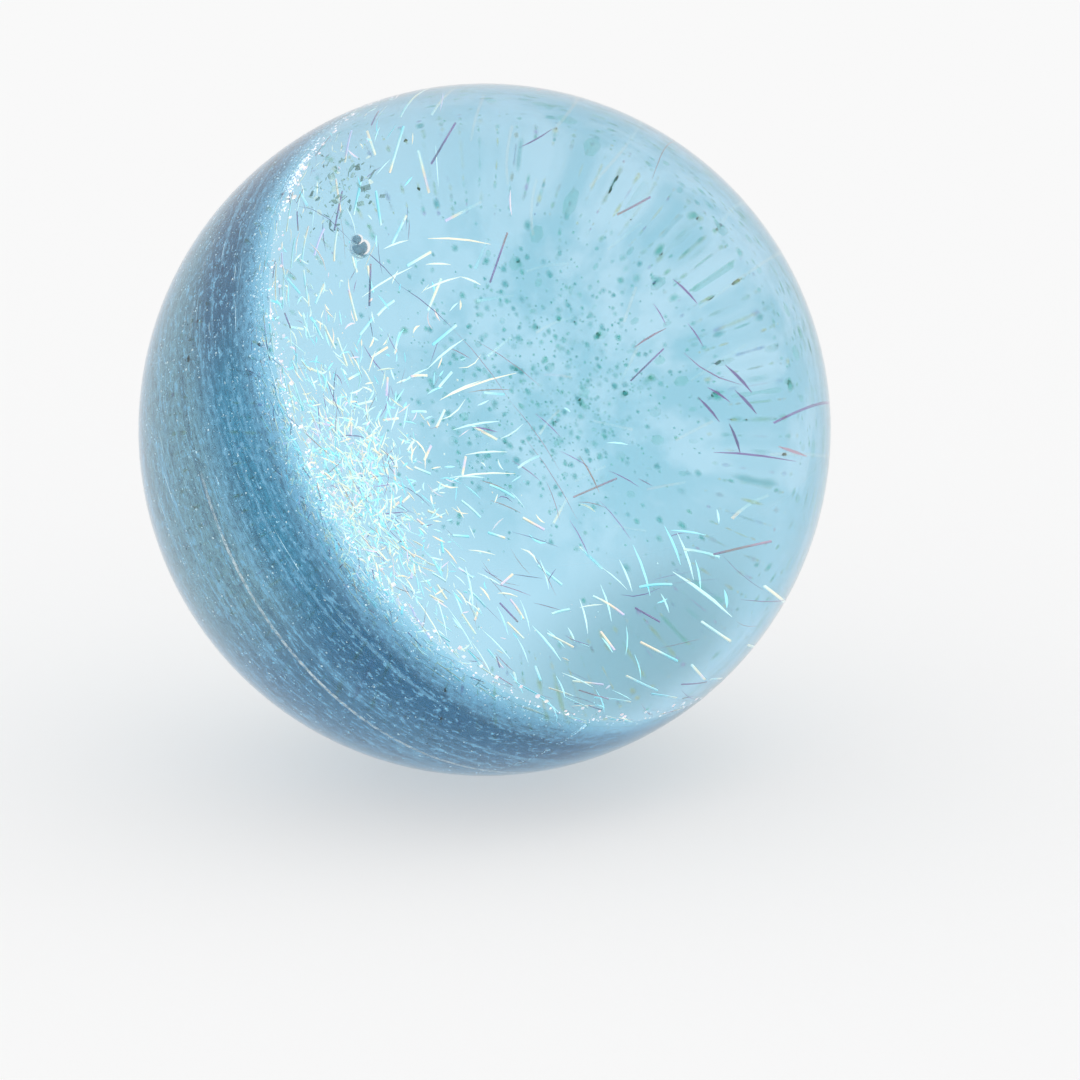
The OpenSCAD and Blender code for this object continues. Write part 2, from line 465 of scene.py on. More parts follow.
@dataclass(frozen=True)
class BlueGlass:
    """The blue backing's glass. A colour is what light keeps after two passes through the layer, but the
    colours for the bottom of the layer and for the lower right of its far patch are darker still, as painted
    shade.
    """

    skin: Colour = (0.88, 0.95, 0.98)
    far: Colour = (0.26, 0.665, 0.935)
    # painted shade: the far patch's darker colour towards the lower right, for the darker surroundings seen
    # through the ball there
    far_low_shade: Colour = (0.085, 0.3, 0.43)
    far_clear: Colour = (0.31, 0.71, 0.98)
    middle: Colour = (0.0095, 0.12, 0.21)
    # painted shade: the belt's darker colour towards the bottom, for the shade that falls on the ball's
    # lower part
    low: Colour = (0.0025, 0.035, 0.093)
    high: Colour = (0.011, 0.037, 0.08)
    grey: Colour = (0.123, 0.197, 0.205)
    # painted shade: the outer grey's darker colour towards the bottom
    grey_low_shade: Colour = (0.018, 0.073, 0.142)
    lip: Colour = (0.19, 0.42, 0.61)
    edge: Colour = (0.55, 0.82, 0.93)
    teal: Colour = (0.13, 0.49, 0.72)
    pole: Colour = (0.11, 0.34, 0.56)
    dark: Colour = (0.003, 0.03, 0.065)
    # direction across the picture in which the painted shade of the far patch deepens
    far_shade_towards: Pair = (0.62, -0.78)
    high_right: Pair = (0.8, 0.6)

    def surface(self) -> Material:
        """The ball's polished outside, which takes only a little of the colour."""
        return Finish("blue_glass").glass(self.skin, BALL.index)

    def layer(self) -> Material:
        """The cup's inside, which holds the tint, with streaks that run parallel to the rim, and with
        painted shade that darkens it towards the bottom and towards the lower right of the far patch.

        Light isn't bent there, because clear glass fills the cup.

        Returns:
            The material.
        """
        finish = Finish("blue_layer")
        height, down, side = (finish.along(BALL.axes[:, i]) for i in (2, 0, 1))
        cloud = finish.noise(0.12, 2.0)
        streak = finish.noise(1.0, 4.0, finish.stretched(1.7, 0.07), 0.65)
        fleck = finish.noise(1.0, 3.0, finish.stretched(3.6, 1.7), 0.7)
        # painted shade: the belt darker towards the bottom
        belt = finish.mixed((down + cloud * 5).clamped(4.0, 12.0), self.middle, self.low)
        belt = finish.mixed((down + cloud * 5).clamped(-4.0, -9.5), belt, self.high)
        # painted shade: the outer grey darker towards the bottom
        outer = finish.mixed((down + cloud * 4).clamped(3.0, 11.0), self.grey, self.grey_low_shade)
        belt = finish.mixed((height + cloud * 2).clamped(-4.5, -0.5), outer, belt)
        belt = finish.mixed(finish.along(SIGHT.back).clamped(4.5, -2.0), belt, self.pole)
        belt = finish.mixed((height + cloud * 1.6 + streak).clamped(1.4, 4.0), belt, self.lip)
        belt = finish.mixed(streak.clamped(0.5, 0.64) * 0.6, belt, self.dark)
        belt = finish.mixed(streak.clamped(0.47, 0.34) * 0.4, belt, self.lip)
        belt = finish.mixed(fleck.clamped(0.5, 0.38) * 0.6, belt, self.dark)
        belt = finish.mixed(fleck.clamped(0.54, 0.66) * 0.7, belt, self.lip)
        belt = finish.mixed((height + streak * 0.9).clamped(2.1, 3.8), belt, self.edge)
        # painted shade: the far patch darker towards the lower right
        away = finish.along(SIGHT.across(*self.far_shade_towards))
        patch = finish.mixed((away + cloud * 1.5).clamped(3.9, 5.4), self.far, self.far_low_shade)
        clear = finish.along(SIGHT.across(*self.high_right)).clamped(2.6, 4.2)
        patch = finish.mixed(clear, patch, self.far_clear)
        mottle = finish.noise(0.9, 3.0, roughness=0.6)
        near_spot = finish.along(DOT_PATCH.middle @ BALL.axes.T)
        patch = finish.mixed(near_spot.clamped(19.1, 19.65) * mottle.clamped(0.34, 0.6), patch, self.teal)
        tint = finish.mixed((side + cloud * 4).clamped(-3.5, 10.5), belt, patch)
        return finish.glass(tint, 1.0)


@dataclass(frozen=True)
class Film:
    """A metal-oxide film that reflects a few colours, picked for each strand or by place."""

    name: str
    stops: Stops
    roughness: float = 0.25
    metallic: float = 1.0
    pick: str = ""
    painted_glow: float = 0.0
    faint: float = 0.0
    alpha: float = 1.0

    def material(self) -> Material:
        """Reflecting film, coloured by the mesh's own tint attribute or by noise over the object.

        The film fades out by the faint share on the far side of the dish, except low down, as painted shade:
        there the strands show dark, and darker violet copies stand for them.

        Returns:
            The material.
        """
        finish = Finish(self.name)
        factor = finish.attribute(self.pick) if self.pick else finish.noise(0.55, 1.0).clamped(0.3, 0.7)
        colour = finish.ramp(factor, self.stops)
        looks = {"Metallic": self.metallic, "Roughness": self.roughness}
        # painted shade: the bright film fades out where the strands show dark instead
        if self.faint > 0:
            side, down = finish.along(BALL.axes[:, 1]), finish.along(BALL.axes[:, 0])
            looks["Alpha"] = (1 - side.clamped(5.5, 8.5) * down.clamped(6.5, 4.0) * self.faint) * self.alpha
        elif self.alpha < 1:
            looks["Alpha"] = self.alpha
        # painted light: the film glows in its own colour
        return finish.with_painted_glow(colour, self.painted_glow, **looks)


@dataclass(frozen=True)
class Haze:
    """Glass bits that let light through and fade out towards their edges, with a tint for each."""

    name: str
    stops: Stops
    alpha: float = 0.8
    painted_glow: float = 0.25

    def material(self) -> Material:
        """Tinted bits, each solid in its middle only: the mesh says how near a corner is to it.

        Returns:
            The material.
        """
        finish = Finish(self.name)
        colour = finish.ramp(finish.attribute("tint"), self.stops)
        alpha = finish.attribute("core").clamped(0.0, 1.0) * self.alpha
        # painted light: the bits glow in their own tint
        return finish.with_painted_glow(colour, self.painted_glow, Roughness=0.6, Alpha=alpha)


@dataclass(frozen=True)
class Speck:
    """Dark green glass that lets some light through."""

    name: str = "green_glass"
    deep: Colour = (0.06, 0.58, 0.56)
    pale: Colour = (0.2, 0.78, 0.7)
    alpha: float = 0.2
    painted_glow: float = 0.3

    def material(self) -> Material:
        """Tinted specks.

        Returns:
            The material.
        """
        finish = Finish(self.name)
        tint = finish.mixed(finish.noise(0.8).clamped(0.35, 0.65), self.deep, self.pale)
        alpha = finish.noise(1.6, 2.0).clamped(0.32, 0.68) * self.alpha
        # painted light: the specks glow in their own tint
        return finish.with_painted_glow(tint, self.painted_glow, Roughness=0.5, Alpha=alpha)


@dataclass(frozen=True)
class Thread:
    """The seam's pale thread, which thins out here and there."""

    tint: Colour = (0.86, 0.96, 1.0)
    painted_glow: float = 0.25

    def material(self) -> Material:
        """Pale glass with grainy and faint stretches, which glows in its own colour as painted light, so
        that the grain shows as painted sparkle.

        Returns:
            The material.
        """
        finish = Finish("pale_thread")
        grain = finish.noise(3.2, 3.0)
        faint = finish.noise(0.16, 2.0)
        low = finish.along(BALL.axes[:, 0]).clamped(-6.0, 12.0)
        alpha = (faint + low * 0.22).clamped(0.45, 0.75) * (grain.clamped(0.42, 0.66) * 0.75 + 0.12)
        # painted light: the thread glows in its own colour, so its grain shows as painted sparkle
        return finish.with_painted_glow(self.tint, self.painted_glow, Roughness=0.5, Alpha=alpha)


@dataclass
class Ribbons:
    """A batch of thin ribbons in the face frame, one row of each array for each ribbon."""

    middle: Array
    heading: Array
    facing: Array
    length: Array
    width: Array
    bow: Array
    tint: Array
    thickness_share: float = 0.5
    steps: int = 3

    def join(self, sheet: Sheet) -> None:
        """Adds every ribbon to a sheet at once.

        A ribbon's centre line is its middle plus its heading times half its length times u, plus its
        sideways direction times its bow times (1 - u * u), for u from -1 to 1. Round each point of the line
        stand four corners of a flat section, and the ends narrow to a fifth.

        Args:
            sheet: What they are added to.
        """
        heading = unit(self.heading)
        facing = unit(self.facing - heading * (self.facing * heading).sum(-1, keepdims=True))
        sideways = np.cross(facing, heading)
        u = np.linspace(-1, 1, self.steps + 1)
        line = (self.middle[:, None] + heading[:, None] * (u[:, None] * self.length[:, None, None] / 2)
                + sideways[:, None] * ((1 - u ** 2)[:, None] * self.bow[:, None, None]))
        taper = (1 - 0.8 * np.abs(u) ** 6)[None, :, None, None]
        square = np.array([[-0.5, -0.5], [0.5, -0.5], [0.5, 0.5], [-0.5, 0.5]])
        across = square[:, 0][None, None, :, None] * sideways[:, None, None]
        up = square[:, 1][None, None, :, None] * facing[:, None, None] * self.thickness_share
        corners = line[:, :, None] + (across + up) * self.width[:, None, None, None] * taper
        rows = self.steps + 1
        first = sheet.put(corners, tint=np.repeat(self.tint, rows * 4))
        base = first + np.arange(len(self.middle))[:, None, None] * rows * 4
        row, side = np.meshgrid(np.arange(self.steps), np.arange(4), indexing="ij")
        beside = (side + 1) % 4
        walls = np.stack([row * 4 + side, row * 4 + beside,
                          (row + 1) * 4 + beside, (row + 1) * 4 + side], -1)
        ends = np.array([[3, 2, 1, 0], [self.steps * 4 + i for i in range(4)]])
        sheet.cover((np.concatenate([walls.reshape(-1, 4), ends])[None] + base).reshape(-1, 4))


@dataclass
class Bits:
    """Small lens-like bits, each with two tips over a ragged rim and a thin diamond for its section."""

    middle: Array
    facing: Array
    radius: Array
    tint: Array
    thickness_share: float = 0.35
    sides: int = 4
    ragged: float = 0.3
    stretch: float = 1.0
    strength: Pair = (1.0, 1.0)

    def join(self, sheet: Sheet, rng: Rng) -> None:
        """Adds every bit to a sheet at once.

        Args:
            sheet: What they are added to.
            rng: Source of the rims' raggedness and turns.
        """
        facing = unit(self.facing)
        helper = np.where(np.abs(facing[:, 2:]) < 0.9, [[0.0, 0, 1]], [[1.0, 0, 0]])
        first_axis = unit(np.cross(helper, facing))
        second_axis = np.cross(facing, first_axis)
        count = len(self.middle)
        turn = rng.uniform(0, 2 * math.pi, (count, 1)) + np.arange(self.sides) * 2 * math.pi / self.sides
        reach = self.radius[:, None] * rng.uniform(1 - self.ragged, 1 + self.ragged, (count, self.sides))
        reach = reach[:, :, None]
        rim = (self.middle[:, None] + first_axis[:, None] * np.cos(turn)[:, :, None] * reach * self.stretch
               + second_axis[:, None] * np.sin(turn)[:, :, None] * reach / self.stretch)
        height = facing * (self.radius * self.thickness_share)[:, None]
        corners = np.concatenate([(self.middle + height)[:, None], (self.middle - height)[:, None], rim], 1)
        core = np.zeros((count, self.sides + 2))
        core[:, :2] = rng.uniform(*self.strength, (count, 1))
        total = self.sides + 2
        first = sheet.put(corners, tint=np.repeat(self.tint, total), core=core)
        around = np.arange(self.sides)
        beside = (around + 1) % self.sides
        upper = np.stack([np.zeros_like(around), around + 2, beside + 2], -1)
        lower = np.stack([np.ones_like(around), beside + 2, around + 2], -1)
        faces = np.concatenate([upper, lower])[None] + (first + np.arange(count) * total)[:, None, None]
        sheet.cover(faces.reshape(-1, 3))


def on_bowl(centre: float, radius: float, lean: Array, turn: Array,
            lift: Array) -> tuple[Array, Array, Array]:
    """Places over a bowl, which is part of a sphere whose centre is on the face's axis.

    Args:
        centre: Height of the sphere's centre on the axis.
        radius: The sphere's radius.
        lean: Angles from the bowl's deepest point, seen from that centre.
        turn: Angles about the axis.
        lift: Distances from the bowl, towards its centre where positive.

    Returns:
        The places, the directions from there to the centre, and those that lead outwards along the bowl.
    """
    down = np.stack([np.sin(lean) * np.cos(turn), np.sin(lean) * np.sin(turn), -np.cos(lean)], -1)
    outwards = np.stack([np.cos(lean) * np.cos(turn), np.cos(lean) * np.sin(turn), np.sin(lean)], -1)
    return np.array([0, 0, centre]) + down * (radius - lift)[:, None], -down, outwards


def on_dish(out: Array, side: Array, lift: Array) -> tuple[Array, Array, Array]:
    """Places over the burst's dish, by distance from the axis, side in degrees and lift."""
    lean = np.arcsin(np.clip(out / BALL.dish_r, -1, 1))
    return on_bowl(BALL.dish_centre, BALL.dish_r, lean, np.radians(side), lift)


def on_wall(lean: Array, side: Array, lift: Array) -> tuple[Array, Array, Array]:
    """Places over the cup's inside, by lean from the back pole and side, both in degrees, and lift."""
    return on_bowl(BALL.inside_ahead, BALL.inside_r, np.radians(lean), np.radians(side), lift)


@dataclass(frozen=True)
class Stroke:
    """One strand of the photograph, given by the picture coordinates of its two ends."""

    from_x: float
    from_y: float
    to_x: float
    to_y: float
    tint: float = 0.35
    width: float = 0.1
    lift: float = 0.5


def strokes(*rows: tuple[float, ...]) -> tuple[Stroke, ...]:
    """Strokes from rows that give each one's values in the order of its fields."""
    return tuple(Stroke(*row) for row in rows)


BRIGHT_STROKES = strokes(
    (634, 545, 651, 596, 0.1, 0.12), (666, 526, 682, 565, 0.05, 0.12), (672, 530, 708, 535, 0.1),
    (679, 533, 695, 580, 0.3, 0.12), (697, 560, 702, 592, 0.1), (674, 572, 733, 617, 0.35, 0.18),
    (726, 590, 728, 608, 0.05, 0.14), (662, 594, 670, 613, 0.2), (620, 560, 633, 592, 0.35),
    (719, 509, 721, 523, 0.3), (361, 296, 411, 265, 0.5), (423, 288, 460, 274, 0.55),
    (460, 274, 480, 282, 0.55), (402, 381, 427, 367, 0.35, 0.12), (427, 367, 463, 337, 0.4, 0.12),
    (439, 399, 480, 379, 0.6), (452, 429, 499, 420, 0.35, 0.12), (465, 454, 507, 451, 0.5),
    (449, 477, 484, 477, 0.35), (465, 567, 473, 611, 0.35, 0.12), (414, 596, 442, 641, 0.6),
    (482, 630, 510, 659, 0.35), (532, 626, 561, 661, 0.25, 0.13), (556, 676, 565, 698, 0.3),
    (533, 692, 560, 713, 0.2), (427, 236, 490, 241, 0.75), (383, 247, 407, 238, 0.5),
    (425, 262, 450, 262, 0.6), (440, 398, 516, 371, 0.7), (452, 477, 515, 473, 0.6),
    (601, 585, 612, 622, 0.25), (580, 600, 588, 634, 0.4), (540, 560, 549, 590, 0.3),
    (447, 607, 475, 652, 0.35, 0.08), (468, 550, 495, 555, 0.6, 0.08), (477, 573, 503, 587, 0.4),
    (547, 630, 565, 648, 0.2, 0.08), (568, 628, 575, 642, 0.3), (602, 638, 613, 653, 0.2),
    (627, 627, 626, 655, 0.1, 0.08), (603, 568, 628, 590, 0.35, 0.07), (562, 673, 593, 687, 0.4),
    (510, 673, 523, 693, 0.1, 0.08), (517, 638, 528, 663, 0.3, 0.08), (497, 607, 508, 635, 0.2),
    (580, 608, 603, 605, 0.5, 0.08), (452, 590, 463, 618, 0.35), (433, 590, 447, 637, 0.45, 0.08),
    (520, 600, 530, 632, 0.3, 0.07), (548, 700, 556, 722, 0.3, 0.08), (470, 640, 492, 676, 0.5, 0.08),
    (596, 690, 604, 712, 0.1, 0.08), (635, 655, 641, 680, 0.1, 0.08), (612, 690, 632, 700, 0.2, 0.07))

# painted shade: many of these are dichroic strands drawn as a darker violet copy where they show dark; the
# thin line of segments from the bubble is a brown hair in its own colour
DARK_STROKES = strokes(
    (675, 275, 700, 300, 0.3, 0.09), (635, 345, 668, 325, 0.6), (728, 362, 755, 390, 0.2, 0.12),
    (700, 395, 722, 420, 0.2, 0.12), (710, 385, 733, 400, 0.3), (738, 388, 760, 412, 0.2, 0.12),
    (732, 422, 743, 452, 0.1, 0.12), (716, 451, 800, 460, 0.3, 0.1), (782, 445, 812, 455, 0.85, 0.14),
    (298, 208, 350, 240, 0.1, 0.05, 2.4), (350, 240, 400, 285, 0.1, 0.05, 2.4),
    (400, 285, 452, 327, 0.1, 0.05, 2.2), (452, 327, 510, 400, 0.6, 0.035, 1.8),
    (510, 400, 560, 470, 0.6, 0.035, 1.6), (467, 391, 511, 388, 0.7, 0.05), (471, 426, 497, 431, 0.4, 0.08),
    (512, 460, 540, 480, 0.5, 0.05), (525, 437, 578, 520, 0.6, 0.035), (535, 412, 561, 436, 0.4, 0.05),
    (560, 450, 592, 468, 0.4, 0.04), (580, 455, 600, 492, 0.7, 0.08), (490, 500, 521, 513, 0.7, 0.05),
    (546, 480, 560, 520, 0.6, 0.04), (570, 520, 590, 558, 0.4, 0.05), (480, 480, 505, 489, 0.7, 0.06),
    (448, 346, 470, 357, 0.6, 0.05), (600, 500, 632, 540, 0.4, 0.04), (478, 340, 540, 384, 0.6, 0.04),
    (610, 470, 640, 486, 0.3, 0.05), (530, 550, 556, 596, 0.6, 0.04), (690, 320, 706, 344, 0.3, 0.06),
    (655, 300, 668, 322, 0.4, 0.05))


@dataclass(frozen=True)
class Sight:
    """What the photograph's camera sees: its directions in the row frame, and where a line of sight goes.

    The ball's outline in the picture is a circle, and the camera is far enough away for its lines of sight
    to be taken as parallel.
    """

    elevation: float = 16.5
    ball_x: float = 484.6
    ball_y: float = 429.7
    ball_radius: float = 346.4

    @property
    def right(self) -> Array:
        """The picture's right."""
        return np.array([1.0, 0, 0])

    @property
    def up(self) -> Array:
        """The picture's up."""
        tilt = math.radians(self.elevation)
        return np.array([0, math.sin(tilt), math.cos(tilt)])

    @property
    def back(self) -> Array:
        """From the ball to the camera."""
        tilt = math.radians(self.elevation)
        return np.array([0, -math.cos(tilt), math.sin(tilt)])

    def across(self, right: float, up: float) -> Array:
        """A direction in the picture's plane."""
        return self.right * right + self.up * up

    def bent(self, x: Array, y: Array) -> tuple[Array, Array]:
        """Where lines of sight enter the ball, and their directions inside it, by the law of refraction.

        Args:
            x: Picture coordinates across.
            y: Picture coordinates down.

        Returns:
            Places and directions in the face frame.
        """
        u, v = (x - self.ball_x) / self.ball_radius, (self.ball_y - y) / self.ball_radius
        w = np.sqrt(np.maximum(1 - u ** 2 - v ** 2, 1e-4))
        normal = u[:, None] * self.right + v[:, None] * self.up + w[:, None] * self.back
        ratio = 1 / BALL.index
        inner = np.sqrt(1 - ratio ** 2 * (1 - w ** 2))
        ray = -self.back * ratio + (ratio * w - inner)[:, None] * normal
        return normal @ BALL.axes * BALL.radius, ray @ BALL.axes

    def reach_dish(self, x: Array, y: Array, lift: Array) -> Array:
        """Places over the dish that show at picture coordinates.

        Args:
            x: Picture coordinates across.
            y: Picture coordinates down.
            lift: Heights over the dish.

        Returns:
            The places, in the face frame.
        """
        start, ray = self.bent(x, y)
        offset = start - np.array([0, 0, BALL.dish_centre])
        along = (offset * ray).sum(-1)
        gap = np.maximum(along ** 2 - (offset ** 2).sum(-1) + (BALL.dish_r - lift) ** 2, 0)
        return start + ray * (np.sqrt(gap) - along)[:, None]


SIGHT = Sight()


@dataclass
class GlassBody:
    """The clear ball and the blue cup: two solids that fill the sphere between them."""

    around: int = 288
    rings: int = 96
    joint_gap: float = 0.01
    bubble_out: float = 9.6
    bubble_side: float = 176.0
    bubble_lift: float = 2.5
    bubble_r: float = 0.45
    bud_r: float = 0.27
    bud_along: float = 0.405
    bud_across: float = 0.18
    bubble_rings: int = 24

    def _zone(self, sheet: Sheet, centre: float, radius: float, start: float, stop: float, outwards: float,
              material: int) -> None:
        """Adds a zone of a sphere about the face's axis, which closes at a pole.

        A point is at the centre plus the radius times (sin a cos b, sin a sin b, cos a), with a from start
        to stop, in radians from the face's axis, and b once round it.

        Args:
            sheet: What the zone is added to.
            centre: The sphere's centre on the axis.
            radius: The sphere's radius.
            start: Angle of the zone's edge.
            stop: Angle of the pole: 0 or pi.
            outwards: 1 where the solid is inside the sphere, or -1 where it's outside.
            material: Number of the material slot.
        """
        lean = np.linspace(start, stop, self.rings + 1)[:-1]
        turn = np.linspace(0, 2 * math.pi, self.around, endpoint=False)
        turn = turn if (stop == 0) == (outwards > 0) else turn[::-1]
        ray = np.stack([np.sin(lean)[:, None] * np.cos(turn), np.sin(lean)[:, None] * np.sin(turn),
                        np.cos(lean)[:, None] * np.ones_like(turn)], -1)
        middle = np.array([0, 0, centre])
        ring = sheet.grid(ray * radius + middle, ray * outwards, material)
        pole = np.array([0, 0, math.cos(stop)])
        sheet.close(pole * radius + middle, pole * outwards, ring, self.around, material)

    def _ring(self, sheet: Sheet, inner: float, outer: float, height: float, upwards: bool,
              material: int) -> None:
        """Adds the flat ring between the outside and the inside at the backing's rim.

        Args:
            sheet: What the ring is added to.
            inner: Its inner radius.
            outer: Its outer radius.
            height: Its place on the face's axis.
            upwards: Whether it faces towards the clear face.
            material: Number of the material slot.
        """
        turn = np.linspace(0, 2 * math.pi, self.around, endpoint=False)
        turn = turn if upwards else turn[::-1]
        circle = np.stack([np.cos(turn), np.sin(turn), np.zeros_like(turn)], -1)
        points = np.stack([circle * outer, circle * inner]) + np.array([0, 0, height])
        up = np.zeros_like(points) + np.array([0, 0, 1.0 if upwards else -1.0])
        sheet.grid(points, up, material)

    def _bubble(self, sheet: Sheet) -> None:
        """Adds the air bubble as a hollow: a round end with a smaller one grown on to it.

        From a middle inside both round ends, the hollow's wall lies in each direction at the further of the
        two places where that direction leaves them. Its normals point into the hollow.

        Args:
            sheet: What the hollow is added to.
        """
        place, normal, outwards = (value[0] for value in on_dish(
            np.array([self.bubble_out]), np.array([self.bubble_side]), np.array([self.bubble_lift])))
        across = np.cross(normal, outwards)
        bud = outwards * self.bud_along + across * self.bud_across
        apart = np.linalg.norm(bud)
        middle = bud * (0.5 * (self.bubble_r + apart - self.bud_r) / apart)
        lean = np.linspace(math.pi, 0, self.bubble_rings + 2)[1:-1]
        turn = np.linspace(0, -2 * math.pi, self.bubble_rings * 2, endpoint=False)
        ray = (np.sin(lean)[:, None, None] * np.cos(turn)[:, None] * outwards
               + np.sin(lean)[:, None, None] * np.sin(turn)[:, None] * across
               + np.cos(lean)[:, None, None] * np.ones_like(turn)[:, None] * normal)

        def wall(rays: Array) -> tuple[Array, Array]:
            """Finds the hollow's wall.

            Args:
                rays: Directions from the middle.

            Returns:
                Places on the wall, and the directions into the hollow there.
            """
            far, centres = [], []
            for centre, radius in ((np.zeros(3), self.bubble_r), (bud, self.bud_r)):
                offset = middle - centre
                along = rays @ offset
                far.append(np.sqrt(along ** 2 - offset @ offset + radius ** 2) - along)
                centres.append(np.broadcast_to(centre, rays.shape))
            first = (far[0] > far[1])[..., None]
            reach = np.maximum(*far)[..., None]
            points = middle + rays * reach
            return points + place, unit(np.where(first, *centres) - points)

        last = sheet.grid(*wall(ray), 2)
        around = self.bubble_rings * 2
        first = last - (self.bubble_rings - 1) * around
        for pole, ring, order in ((normal, last, 1), (-normal, first, -1)):
            tip, inwards = wall(pole[None])
            sheet.close(tip[0], inwards[0], ring, around, 2, order)

    def clear_ball(self) -> Piece:
        """The clear glass: the open face, a flat step at the rim, the inside of the cup and the bubble.

        Returns:
            The new piece.
        """
        sheet = Sheet()
        rim = math.acos(BALL.rim_ahead / BALL.radius)
        self._zone(sheet, 0, BALL.radius, rim, 0, 1, 0)
        self._ring(sheet, BALL.lip_r, BALL.rim_r, BALL.rim_ahead, False, 1)
        self._zone(sheet, BALL.inside_ahead, BALL.inside_r, BALL.lip_lean, math.pi, 1, 1)
        self._bubble(sheet)
        glass = ClearGlass()
        return sheet.make("clear_ball", [glass.body(), glass.joint(), glass.hollow()], True)

    def blue_cup(self) -> Piece:
        """The blue glass: the ball's surface behind the rim, the rim, and the cup's inside.

        Returns:
            The new piece.
        """
        sheet = Sheet()
        height, inside_r = BALL.rim_ahead - self.joint_gap, BALL.inside_r + self.joint_gap
        rim = math.acos(height / BALL.radius)
        lip = math.acos((height - BALL.inside_ahead) / inside_r)
        self._zone(sheet, 0, BALL.radius, rim, math.pi, 1, 0)
        self._ring(sheet, inside_r * math.sin(lip), BALL.radius * math.sin(rim), height, True, 2)
        self._zone(sheet, BALL.inside_ahead, inside_r, lip, math.pi, -1, 1)
        glass = BlueGlass()
        return sheet.make("blue_cup", [glass.surface(), glass.layer(), ClearGlass().joint()], True)


DICHROIC_STOPS = ((0.0, (0.35, 0.92, 1.0)), (0.4, (0.7, 1.0, 1.0)), (0.7, (1.0, 1.0, 0.8)),
                  (0.88, (1.0, 0.88, 0.7)), (1.0, (0.8, 0.76, 1.0)))
VIOLET_STOPS = ((0.0, (0.12, 0.1, 0.3)), (0.4, (0.4, 0.24, 0.6)), (0.7, (0.5, 0.38, 0.36)),
                (1.0, (0.85, 0.5, 0.75)))
DOT_STOPS = ((0.0, (0.02, 0.42, 0.45)), (0.3, (0.06, 0.55, 0.48)), (0.5, (0.22, 0.5, 0.22)),
             (0.7, (0.6, 0.66, 0.22)), (0.85, (0.08, 0.28, 0.6)), (1.0, (0.38, 0.22, 0.58)))
GLITTER_STOPS = ((0.0, (0.02, 0.07, 0.1)), (0.28, (0.05, 0.19, 0.28)), (0.6, (0.25, 0.6, 0.8)),
                 (1.0, (0.9, 1.0, 1.0)))
FLAKE_STOPS = ((0.0, (0.1, 0.22, 0.2)), (0.5, (0.28, 0.5, 0.45)), (0.8, (0.55, 0.8, 0.78)),
               (1.0, (0.85, 1.0, 0.95)))
FRIT_STOPS = ((0.0, (0.8, 0.9, 1.0)), (0.5, (1.0, 0.88, 0.94)), (1.0, (1.0, 0.98, 0.92)))
CRUMB_STOPS = ((0.0, (0.8, 0.9, 1.0)), (0.5, (1.0, 0.86, 0.93)), (1.0, (1.0, 1.0, 0.96)))


@dataclass(frozen=True)
class Draw:
    """A measure drawn by chance: its start, its reach from there, and a power that favours the start."""

    start: float
    reach: float
    power: float = 1.0

    def take(self, rng: Rng, count: int) -> Array:
        """As many measures as count says."""
        return self.start + self.reach * rng.random(count) ** self.power


@dataclass(frozen=True)
class Spot:
    """A place across the face's axis, by its distance from the axis and its side in degrees."""

    out: float
    side: float

    @property
    def place(self) -> Array:
        """Its two coordinates."""
        return self.out * np.array([math.cos(math.radians(self.side)), math.sin(math.radians(self.side))])


@dataclass(frozen=True)
class Fan:
    """A batch of strands: how many, the share of them in the crowd, and their lengths, widths and skew."""

    count: int
    share: float
    lengths: Pair
    widths: Pair
    skew: float


